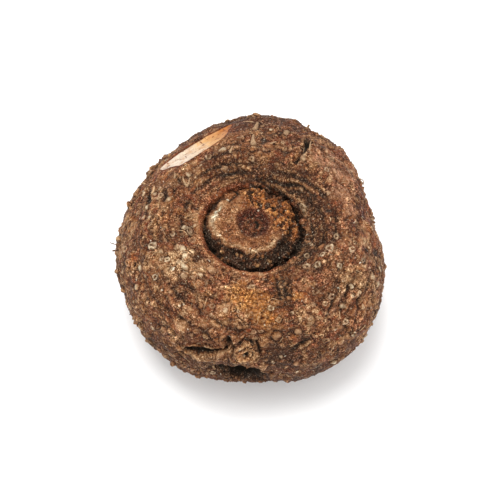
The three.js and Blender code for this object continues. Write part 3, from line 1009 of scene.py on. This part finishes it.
def mesh_object(name, vertices, triangles, colours=(), vectors=()):
    mesh = bpy.data.meshes.new(name)
    mesh.vertices.add(len(vertices))
    mesh.vertices.foreach_set("co", ((vertices + to_origin) * MM).astype(np.float32).ravel())
    mesh.loops.add(len(triangles) * 3)
    mesh.loops.foreach_set("vertex_index", triangles.astype(np.int32).ravel())
    mesh.polygons.add(len(triangles))
    mesh.polygons.foreach_set("loop_start", np.arange(0, len(triangles) * 3, 3, dtype=np.int32))
    mesh.polygons.foreach_set("loop_total", np.full(len(triangles), 3, dtype=np.int32))
    mesh.polygons.foreach_set("use_smooth", np.ones(len(triangles), dtype=bool))
    for kind, field, attributes in (("FLOAT_COLOR", "color", colours), ("FLOAT_VECTOR", "vector", vectors)):
        for attribute, values in attributes:
            layer = mesh.attributes.new(attribute, kind, "POINT")
            layer.data.foreach_set(field, np.ascontiguousarray(values, dtype=np.float32).ravel())
    mesh.update(calc_edges=True)
    mesh.validate()
    return put(name, mesh)


# Painted shade where no light gets in: the gaps, the holes, the flake's gap, the crack round the button and
# the bud's eye. The shader gets it with each scar's tone as the alpha.
eye = button * bell(bud_distance - 3.9, 1.5) * bud_sector(-50, 70, 40)
ring_gap = moat * crack_line * smoothstep(lumps(7, 155), -0.5, 0.3)
black = np.maximum.reduce([gap_shade, hole_shade, 0.9 * flake_gap * inside_scar, 0.95 * ring_gap, eye])
black = np.clip(black, 0, 1)

corm = mesh_object(
    "corm_skin", points, faces,
    colours=(
        ("skin_tint", np.column_stack([np.clip(colour, 0, 1), on_skin])),
        ("scar_paint", np.column_stack([rim_paint, pore_paint, dome_paint, scar_mask])),
        # The gaps' painted shade, with each scar's tone as the alpha.
        ("gaps", np.column_stack([black, black, black, tone])),
    ),
    vectors=(
        ("scar_offset", np.clip(scar_offset, -4, 4)),
        ("flow_place", flow),
        ("cut_place", np.column_stack([np.clip(cut, -4, 4), from_edge @ along, from_edge @ away])),
    ),
)

# ---- Materials ----


class Shader:
    """Short ways to add and join a material's nodes."""

    def __init__(self, name):
        self.material = bpy.data.materials.new(name)
        self.material.use_nodes = True
        self.tree = self.material.node_tree
        self.tree.nodes.clear()

    def plug(self, socket, value):
        if isinstance(value, bpy.types.NodeSocket):
            self.tree.links.new(value, socket)
        else:
            socket.default_value = value

    def add(self, kind, inputs=(), **settings):
        node = self.tree.nodes.new(kind)
        for setting, value in settings.items():
            setattr(node, setting, value)
        for socket, value in dict(inputs).items():
            self.plug(node.inputs[socket], value)
        return node

    def attribute(self, name):
        return self.add("ShaderNodeAttribute", attribute_name=name)

    def split(self, colour):
        return self.add("ShaderNodeSeparateColor", {0: colour}).outputs

    def math(self, operation, a, b=0.0, clamp=False):
        return self.add("ShaderNodeMath", {0: a, 1: b}, operation=operation, use_clamp=clamp).outputs[0]

    def product(self, *values):
        result = values[0]
        for value in values[1:]:
            result = self.math("MULTIPLY", result, value)
        return result

    def total(self, *terms):
        """The sum of sockets, each times its number."""
        result = 0.0
        for socket, weight in terms:
            inputs = {0: socket, 1: weight, 2: result}
            result = self.add("ShaderNodeMath", inputs, operation="MULTIPLY_ADD").outputs[0]
        return result

    def vector(self, operation, a, b):
        second = "Scale" if operation == "SCALE" else 1
        return self.add("ShaderNodeVectorMath", {0: a, second: b}, operation=operation).outputs[0]

    def noise(self, place, size, detail=3.0, roughness=0.6, distortion=0.0):
        """Noise whose lumps are that many of the place's units across: its level and its colour."""
        inputs = {"Vector": place, "Scale": 1 / size, "Detail": detail, "Roughness": roughness}
        return self.add("ShaderNodeTexNoise", {**inputs, "Distortion": distortion}).outputs

    def ramp(self, value, *stops):
        """Straight lines through (place, level) stops."""
        node = self.add("ShaderNodeValToRGB", {0: value})
        elements = node.color_ramp.elements
        while len(elements) < len(stops):
            elements.new(0.5)
        for element, (place, level) in zip(elements, stops):
            element.position = place
            element.color = (level, level, level, 1) if np.isscalar(level) else (*level, 1)
        return node.outputs[0]

    def mix(self, factor, a, b, how="MIX"):
        node = self.add("ShaderNodeMix", data_type="RGBA", blend_type=how)
        self.plug(node.inputs[0], factor)
        for socket, value in ((6, a), (7, b)):
            self.plug(node.inputs[socket], (*value, 1) if isinstance(value, tuple) else value)
        return node.outputs[2]

    def times(self, a, b, factor=1.0):
        """Colour a, multiplied by b to the extent of the factor."""
        return self.mix(factor, a, b, "MULTIPLY")

    def finish(self, colour, roughness, height, specular, specular_tint=(1, 1, 1, 1)):
        """The finished surface, with its bump heights in metres."""
        bump = self.add("ShaderNodeBump", {"Strength": 1.0, "Distance": 1.0, "Height": height})
        surface = self.add("ShaderNodeBsdfPrincipled", {
            "Base Color": colour, "Roughness": roughness, "Normal": bump.outputs[0],
            "Specular IOR Level": specular, "Specular Tint": specular_tint,
        })
        self.add("ShaderNodeOutputMaterial", {"Surface": surface.outputs[0]})
        return self.material


def paint(*levels):
    """A colour that a shader's socket takes."""
    return tuple(srgb(*levels))


def skin_material():
    s = Shader("corm_skin")
    place = s.add("ShaderNodeTexCoord").outputs["Object"]
    tint = s.attribute("skin_tint")
    scar = s.attribute("scar_paint")
    gaps = s.attribute("gaps")
    rim_strength, pore_strength, dome_strength = s.split(scar.outputs["Color"])[:3]
    scar_ends = scar.outputs["Alpha"]
    # The gaps' painted shade, near black.
    painted_gap_shade = s.split(gaps.outputs["Color"])[0]
    scar_tone = gaps.outputs["Alpha"]

    # Noise at the scales of clods, grains and fibres.
    clods, clod_colour = s.noise(place, 6 * MM, 4, 0.62, 0.3)
    grains, grain_colour = s.noise(place, 2.4 * MM, 4, 0.7)
    specks = s.noise(place, 1.0 * MM, 3, 0.65)[0]
    flow_place = s.attribute("flow_place").outputs["Vector"]
    flow_place = s.add("ShaderNodeMapping", {"Vector": flow_place, "Scale": (1.0, 0.16, 0.16)}).outputs[0]
    fibres = s.noise(flow_place, 1.3, 3, 0.6, 0.4)[0]

    # Fine cracks: the edges of small cells, only in places, darkened with painted shade.
    drifted = s.vector("ADD", place, s.vector("SCALE", clod_colour, 9 * MM))
    inputs = {"Vector": drifted, "Scale": 1 / (3.4 * MM)}
    scales = s.add("ShaderNodeTexVoronoi", inputs, feature="DISTANCE_TO_EDGE").outputs["Distance"]
    cracks = s.ramp(scales, (0.0, 1.0), (0.07, 0.6), (0.16, 0.0))
    cracks = s.product(cracks, s.ramp(clods, (0.42, 0.0), (0.6, 1.0)))

    # Crusty skin is grainier than smooth skin.
    crust = s.ramp(s.noise(place, 13 * MM, 3, 0.6)[0], (0.44, 0.2), (0.58, 1.0))
    shade = s.times(tint.outputs["Color"], s.ramp(grains, (0.3, 0.34), (0.5, 1.0), (0.7, 1.95)), crust)
    shade = s.times(shade, s.ramp(clods, (0.3, 0.7), (0.5, 1.0), (0.7, 1.32)))
    shade = s.times(shade, s.ramp(specks, (0.34, 0.15), (0.5, 1.0), (0.66, 2.1)), crust)
    bleached = s.product(s.ramp(specks, (0.54, 0.0), (0.70, 0.55)), s.ramp(grains, (0.42, 0.3), (0.6, 1.0)))
    shade = s.times(shade, s.ramp(fibres, (0.3, 0.6), (0.5, 1.0), (0.7, 1.35)), tint.outputs["Alpha"])
    warmth = s.noise(place, 3.4 * MM, 3, 0.6)[0]
    shade = s.times(shade, (1.25, 0.92, 0.74), s.ramp(warmth, (0.55, 0.0), (0.68, 0.5)))
    shade = s.times(shade, (0.92, 1.0, 1.12), s.ramp(warmth, (0.34, 0.5), (0.47, 0.0)))
    shade = s.times(shade, (0.25, 0.22, 0.2), s.product(cracks, 0.75))

    # Wrinkles: thin lines of painted shade, each with a raised edge of painted highlight.
    wrinkle_noise = s.noise(place, 4.2 * MM, 3, 0.5, 0.9)[0]
    wrinkle_share = s.ramp(warmth, (0.40, 1.0), (0.60, 0.35))
    wrinkles = s.product(s.ramp(wrinkle_noise, (0.475, 0.0), (0.50, 1.0), (0.525, 0.0)), wrinkle_share)
    wrinkle_edges = s.product(s.ramp(wrinkle_noise, (0.525, 0.0), (0.55, 1.0), (0.59, 0.0)), wrinkle_share)
    shade = s.times(shade, (0.30, 0.25, 0.22), s.product(wrinkles, 0.8))
    shade = s.times(shade, (1.9, 1.85, 1.8), s.product(wrinkle_edges, 0.5))

    # Small pale dots, partly pale flecks and partly painted glints, a few near-white painted glints, and dark
    # dots.
    dots = s.add("ShaderNodeTexVoronoi", {"Vector": drifted, "Scale": 1 / (2.7 * MM)}, feature="F1")
    dot_kind = s.split(dots.outputs["Color"])[0]
    dot = s.ramp(dots.outputs["Distance"], (0.12, 1.0), (0.30, 0.0))
    pale_dot = s.product(dot, s.ramp(dot_kind, (0.72, 0.0), (0.80, 0.8)))
    dark_dot = s.product(dot, s.ramp(dot_kind, (0.26, 0.85), (0.36, 0.0)))
    painted_glint = s.product(dot, s.ramp(dot_kind, (0.955, 0.0), (0.965, 0.9)))
    shade = s.times(shade, (2.3, 2.15, 2.0), pale_dot)
    shade = s.mix(painted_glint, shade, paint(236, 226, 212))
    shade = s.times(shade, (0.3, 0.25, 0.22), dark_dot)

    # Root scars: a light broken rim, a darker pore, a pale dome, and a rusty ditch round it.
    wobble = s.vector("SCALE", s.vector("SUBTRACT", grain_colour, (0.5, 0.5, 0.5)), 0.9)
    offset = s.vector("ADD", s.attribute("scar_offset").outputs["Vector"], wobble)
    distance = s.add("ShaderNodeVectorMath", {0: offset}, operation="LENGTH").outputs["Value"]
    half = s.product(distance, 0.5)
    rim = s.product(s.ramp(half, (0.15, 0.0), (0.29, 1.0), (0.38, 1.0), (0.50, 0.0)), rim_strength, scar_ends)
    pore = s.product(s.ramp(half, (0.06, 1.0), (0.12, 0.8), (0.20, 0.0)), pore_strength, scar_ends)
    dome = s.product(s.ramp(half, (0.14, 1.0), (0.46, 0.0)), dome_strength, scar_ends)
    ditch = s.product(s.ramp(half, (0.44, 0.0), (0.55, 1.0), (0.68, 0.0)), 0.75, scar_ends)
    rim_colour = s.mix(scar_tone, paint(160, 112, 78), paint(244, 230, 210))
    rim_colour = s.mix(0.35, rim_colour, s.times(shade, (1.6, 1.55, 1.5)))
    shade = s.times(shade, (0.42, 0.31, 0.26), ditch)
    shade = s.mix(s.product(rim, s.ramp(grains, (0.38, 0.15), (0.55, 1.0))), shade, rim_colour)
    pearl_colour = s.mix(scar_tone, paint(168, 124, 90), paint(240, 222, 198))
    shade = s.mix(dome, shade, s.times(pearl_colour, s.ramp(grains, (0.35, 0.7), (0.62, 1.1))))
    shade = s.mix(pore, shade, paint(50, 28, 17))

    # Darks are redder than lights.
    deep = s.add("ShaderNodeGamma", {0: shade, 1: 1.24}).outputs[0]
    skin_shade = s.times(deep, (0.87, 0.755, 0.635))
    brightness = s.add("ShaderNodeRGBToBW", {0: skin_shade}).outputs[0]
    skin_shade = s.times(skin_shade, s.ramp(
        brightness, (0.03, (1.07, 0.81, 0.60)), (0.13, (1.0, 0.95, 0.85)), (0.28, (0.96, 1.09, 1.16)),
        (0.45, (0.94, 1.17, 1.33)),
    ))
    skin_shade = s.mix(bleached, skin_shade, paint(208, 184, 156))

    # The knife's slice: pale starch at one end, orange at the other, with brown flecks and a dark skin line.
    cut_place = s.attribute("cut_place").outputs["Vector"]
    depth, along_cut, _ = s.add("ShaderNodeSeparateXYZ", {0: cut_place}).outputs
    face = s.math("MULTIPLY", s.math("ADD", depth, -0.12), 4.0, True)
    along_share = s.math("ADD", s.total((along_cut, 1 / 52), (clods, 0.5)), 0.25)
    flesh = s.ramp(
        along_share, (0.1, paint(238, 220, 200)), (0.45, paint(240, 210, 176)), (0.62, paint(234, 182, 122)),
        (0.98, paint(192, 116, 56)),
    )
    flesh = s.times(flesh, s.ramp(grains, (0.3, 0.72), (0.6, 1.08)))
    stain = s.noise(place, 7.0 * MM, 3, 0.6)[0]
    flesh = s.mix(s.ramp(stain, (0.5, 0.0), (0.7, 0.65)), flesh, paint(206, 146, 96))
    fleck = s.noise(place, 3.6 * MM, 2, 0.5)[0]
    flesh = s.mix(s.ramp(fleck, (0.62, 0.0), (0.67, 0.85)), flesh, paint(128, 70, 40))
    edge = s.ramp(s.math("ADD", s.product(depth, 0.25), 0.5), (0.42, 0.0), (0.49, 0.95), (0.56, 0.0))
    shade = s.mix(edge, s.mix(face, shade, flesh), paint(110, 58, 34))

    # Off the slice, darks are deeper and redder than lights, and specks are bleached.
    off_face = s.math("SUBTRACT", 1.0, face)
    deep = s.add("ShaderNodeGamma", {0: shade, 1: 1.24}).outputs[0]
    shade = s.times(s.mix(face, deep, shade), s.mix(face, (0.87, 0.755, 0.635), (0.66, 0.65, 0.64)))
    brightness = s.add("ShaderNodeRGBToBW", {0: shade}).outputs[0]
    hue = s.ramp(
        brightness, (0.03, (1.07, 0.81, 0.60)), (0.13, (1.0, 0.95, 0.85)), (0.28, (0.96, 1.09, 1.16)),
        (0.45, (0.94, 1.17, 1.33)),
    )
    shade = s.times(shade, hue, off_face)
    shade = s.mix(s.product(bleached, off_face), shade, paint(208, 184, 156))

    # Painted shade: the gaps are painted near black, and nothing shines in them.
    shade = s.mix(s.ramp(painted_gap_shade, (0.35, 0.0), (0.85, 0.93)), shade, paint(10, 7, 5))

    height = s.total(
        (clods, 0.8 * MM), (grains, 0.65 * MM), (specks, 0.4 * MM), (fibres, 0.35 * MM), (cracks, -0.35 * MM),
        (wrinkles, -0.35 * MM), (wrinkle_edges, 0.2 * MM), (rim, 0.5 * MM), (dome, 0.5 * MM),
        (pore, -0.6 * MM), (ditch, -0.4 * MM), (pale_dot, 0.35 * MM), (dark_dot, -0.35 * MM),
    )
    height = s.product(height, s.ramp(face, (0.0, 1.0), (1.0, 0.12)))
    rough_level = s.ramp(grains, (0.35, 0.9), (0.65, 0.55))
    rough_level = s.mix(s.math("MAXIMUM", dome, s.product(rim, 0.6)), rough_level, (0.38, 0.38, 0.38))
    rough_level = s.mix(face, rough_level, (0.5, 0.5, 0.5))
    return s.finish(shade, rough_level, height, 0.24, (1.0, 0.78, 0.60, 1))


corm.data.materials.append(skin_material())
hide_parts("corm")
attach(corm, "root")

# ---- Dry rootlets: closed, tapered tubes that lie on the skin or stand up from it ----

ROOT_SIDES = 7
ROOT_STEPS = 9  # points along a rootlet
FOOT_BULGE = 0.5  # of the end's radius
TIP_BULGE = 0.7
# Place on the form, direction, length, radius at the foot and at the tip, and how far the middle bows.
SINGLE_ROOTLETS = (
    ((-107, -7, 81.5), (-1, -0.15, 0.45), 8, 0.55, 0.35, (0, -0.6, -1.4)),
    ((-107, -12.5, 77.5), (-1, -0.1, 0.1), 4.6, 0.55, 0.75, (0, 0, 0.4)),
    ((2, 80, 115.5), (0.3, 1, -0.15), 9, 2.6, 1, (0.3, 0, 0.9)),
    ((2, 61.5, 121), (0, 1, 0.02), 10, 2.9, 0.9, (-0.4, 0, 0.8)),
    ((-51, 22, 121), (-0.45, 1, 0.25), 9, 1.3, 0.4, (-0.8, 0, 0.8)),
    ((-51, 22, 121), (0.2, 1, 0.1), 8, 1.2, 0.4, (0.6, 0, 0.6)),
    ((-79, 19, 114.2), (0.25, 1, 0.2), 6, 1.2, 0.7, (0.6, 0, 0.6)),
    ((-73.5, 12, 116.2), (0.6, 0.9, 0.3), 4.5, 1.5, 1, (0, 0, 0.5)),
    ((-62, 31, 119), (0.1, 1, 0.1), 4.5, 0.9, 0.6, (0.4, 0, 0.3)),
    ((37, 44, 120.5), (0.3, 0.95, -0.02), 17, 0.5, 0.3, (1.4, 0, 0.8)),
    ((47.5, 52, 118.5), (0.05, 1, 0.05), 12, 1, 0.4, (-0.8, 0, 0.6)),
    ((46, 88, 101), (0.5, 0.7, 0.6), 4.2, 0.8, 0.9, (0, 0, 0.2)),
    ((86.5, 42, 101.5), (0.55, -0.65, -0.1), 7.5, 0.45, 0.35, (1.4, 0.8, 1.4)),
    ((-18, 53, 121.5), (0.3, 0.9, 0.1), 6, 1.5, 0.6, (0, 0, 0.5)),
    ((15, 64, 120), (1, 0.4, 0.1), 5, 1, 0.5, (0, 0, 0.4)),
    ((-92, 40, 104), (-0.9, 0.5, 0.3), 3.2, 0.9, 0.5, (0, 0, 0)),
    ((-30, -112, 70), (0.4, -0.9, 0.1), 3, 0.9, 0.4, (0, 0, 0)),
)
FIBRES = 150  # fine ones that lie on the skin, scattered
FIBRE_LENGTH = (3.0, 9.0)
FIBRE_RADIUS = (0.16, 0.34)
FIBRE_LIFT = 0.35


def tube(path, radii):
    """A closed tube along a path."""
    tangent = unit(np.gradient(path, axis=0))
    side = unit(np.cross(tangent, (0.31, 0.17, 0.93)))
    other = np.cross(tangent, side)
    angle = np.arange(ROOT_SIDES)[:, None] / ROOT_SIDES * 2 * math.pi
    rings = side[:, None] * np.cos(angle) + other[:, None] * np.sin(angle)
    rings = path[:, None] + radii[:, None, None] * rings
    foot_point = path[0] - tangent[0] * radii[0] * FOOT_BULGE
    tip_point = path[-1] + tangent[-1] * radii[-1] * TIP_BULGE
    foot = len(path) * ROOT_SIDES
    last_ring = foot - ROOT_SIDES
    step = np.arange(ROOT_SIDES)
    after = (step + 1) % ROOT_SIDES
    triangles = []
    for low in range(0, last_ring, ROOT_SIDES):
        high = low + ROOT_SIDES
        triangles.append((low + step, low + after, high + after))
        triangles.append((low + step, high + after, high + step))
    triangles.append((np.full(ROOT_SIDES, foot), after, step))
    triangles.append((np.full(ROOT_SIDES, foot + 1), last_ring + step, last_ring + after))
    vertices = np.vstack([rings.reshape(-1, 3), foot_point, tip_point])
    return vertices, np.concatenate([np.stack(corners, 1) for corners in triangles])


def surface_tree():
    tree = KDTree(len(points))
    for index, point in enumerate(points):
        tree.insert(point, index)
    tree.balance()
    return tree


def rootlet_paths():
    """Path and radii of every rootlet, and how pale it is."""
    tree = surface_tree()
    made = []
    share = np.linspace(0, 1, ROOT_STEPS)[:, None]
    bowed = 4 * share * (1 - share)
    for foot, direction, length, foot_radius, tip_radius, bow in SINGLE_ROOTLETS:
        nearest = tree.find(foot)[1]
        path = points[nearest] - normals[nearest] * foot_radius * 0.5
        path = path + unit(np.array(direction)) * share * length + np.array(bow) * bowed
        path = path + rng.normal(0, 0.10, (ROOT_STEPS, 3)) * share
        radii = lerp(foot_radius, tip_radius, share[:, 0] ** 0.7) * rng.uniform(0.85, 1.12, ROOT_STEPS)
        # The two at the far left are dark.
        made.append((path, radii, rng.uniform(0.0, 0.2) if foot[0] < -100 else rng.uniform(0.3, 0.7)))
    loose = np.flatnonzero((outside > 6) & (skin[:, 2] > 45) & (cut < -3))
    for vertex in rng.choice(loose, FIBRES, replace=False):
        heading = unit(np.cross(normals[vertex], rng.normal(size=3)))
        length = rng.uniform(*FIBRE_LENGTH)
        curl = np.cross(heading, normals[vertex]) * rng.uniform(-0.35, 0.35) * length
        spots = points[vertex] + heading * (share - 0.5) * length + curl * bowed
        nearest = [tree.find(spot)[1] for spot in spots]
        path = points[nearest] + normals[nearest] * FIBRE_LIFT
        for _ in range(3):
            path[1:-1] = (path[:-2] + 2 * path[1:-1] + path[2:]) / 4
        radius = rng.uniform(*FIBRE_RADIUS)
        made.append((path, np.linspace(radius, radius * 0.5, ROOT_STEPS), rng.uniform(0, 1)))
    return made


def build_rootlets():
    vertices, triangles, paleness = [], [], []
    start = 0
    for path, radii, pale in rootlet_paths():
        tube_vertices, tube_triangles = tube(path, radii)
        vertices.append(tube_vertices)
        triangles.append(tube_triangles + start)
        paleness.append(np.full((len(tube_vertices), 1), pale))
        start += len(tube_vertices)
    tints = lerp(srgb(86, 56, 36), srgb(206, 170, 128), np.vstack(paleness))
    tints = np.column_stack([tints, np.ones(len(tints))])
    return mesh_object("dry_rootlets", np.vstack(vertices), np.vstack(triangles), (("root_tint", tints),))


def rootlet_material():
    s = Shader("dry_rootlets")
    place = s.add("ShaderNodeTexCoord").outputs["Object"]
    grains = s.noise(place, 1.6 * MM, 3, 0.65)[0]
    rings = s.noise(place, 0.6 * MM, 2, 0.5)[0]
    shade = s.times(s.attribute("root_tint").outputs["Color"], s.ramp(grains, (0.3, 0.45), (0.7, 1.4)))
    shade = s.mix(s.ramp(rings, (0.58, 0.0), (0.7, 0.6)), shade, paint(70, 44, 28))
    height = s.total((grains, 0.5 * MM), (rings, 0.2 * MM))
    return s.finish(shade, s.ramp(grains, (0.3, 0.85), (0.7, 0.6)), height, 0.3)


rootlets = build_rootlets()
rootlets.data.materials.append(rootlet_material())
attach(rootlets, "root")

# ---- Stage: floor, lights and camera ----

# In metres and watts.
FLOOR_SIZE = 6.0
FLOOR_WHITE = 0.92
LIGHTS = (  # name, place, size, power
    ("overhead", (-0.15, 0.2, 1.5), 0.8, 18),
    ("front_fill", (0.3, -1.4, 0.9), 1.4, 5),
)
LIGHTS_AIM = Vector((0, 0, 0.06))
SKY_STRENGTH = 1.05
CAMERA_ELEVATION = math.radians(61)
CAMERA_DISTANCE = 0.98
CAMERA_AIM = Vector((0.0, -0.004, 0.060))
CAMERA_LENS = 85
CAMERA_SENSOR = 36

half = FLOOR_SIZE / 2
floor_corners = [(-half, -half, 0), (half, -half, 0), (half, half, 0), (-half, half, 0)]
floor_mesh = bpy.data.meshes.new("floor")
floor_mesh.from_pydata(floor_corners, [], [(0, 1, 2, 3)])
floor_shader = Shader("floor")
floor_surface = floor_shader.add("ShaderNodeBsdfPrincipled", {
    "Base Color": (FLOOR_WHITE, FLOOR_WHITE, FLOOR_WHITE, 1), "Roughness": 0.9, "Specular IOR Level": 0.1,
})
floor_shader.add("ShaderNodeOutputMaterial", {"Surface": floor_surface.outputs[0]})
floor_mesh.materials.append(floor_shader.material)
floor = put("floor", floor_mesh)


for name, place, size, power in LIGHTS:
    light = bpy.data.lights.new(name, "AREA")
    light.size = size
    light.energy = power
    lamp = put(name, light)
    lamp.location = place
    lamp.rotation_euler = (LIGHTS_AIM - Vector(place)).to_track_quat("-Z", "Y").to_euler()

world = bpy.data.worlds.new("studio")
world.use_nodes = True
background = world.node_tree.nodes["Background"]
background.inputs["Color"].default_value = (1, 1, 1, 1)
background.inputs["Strength"].default_value = SKY_STRENGTH
scene = bpy.context.scene
scene.world = world
scene.view_settings.view_transform = "Standard"

camera_data = bpy.data.cameras.new("camera")
camera_data.lens = CAMERA_LENS
camera_data.sensor_width = CAMERA_SENSOR
camera = put("camera", camera_data)
back = Vector((0, -math.cos(CAMERA_ELEVATION), math.sin(CAMERA_ELEVATION)))
camera.location = CAMERA_AIM + back * CAMERA_DISTANCE
camera.rotation_mode = "QUATERNION"
camera.rotation_quaternion = (-back).to_track_quat("-Z", "Y")
scene.camera = camera
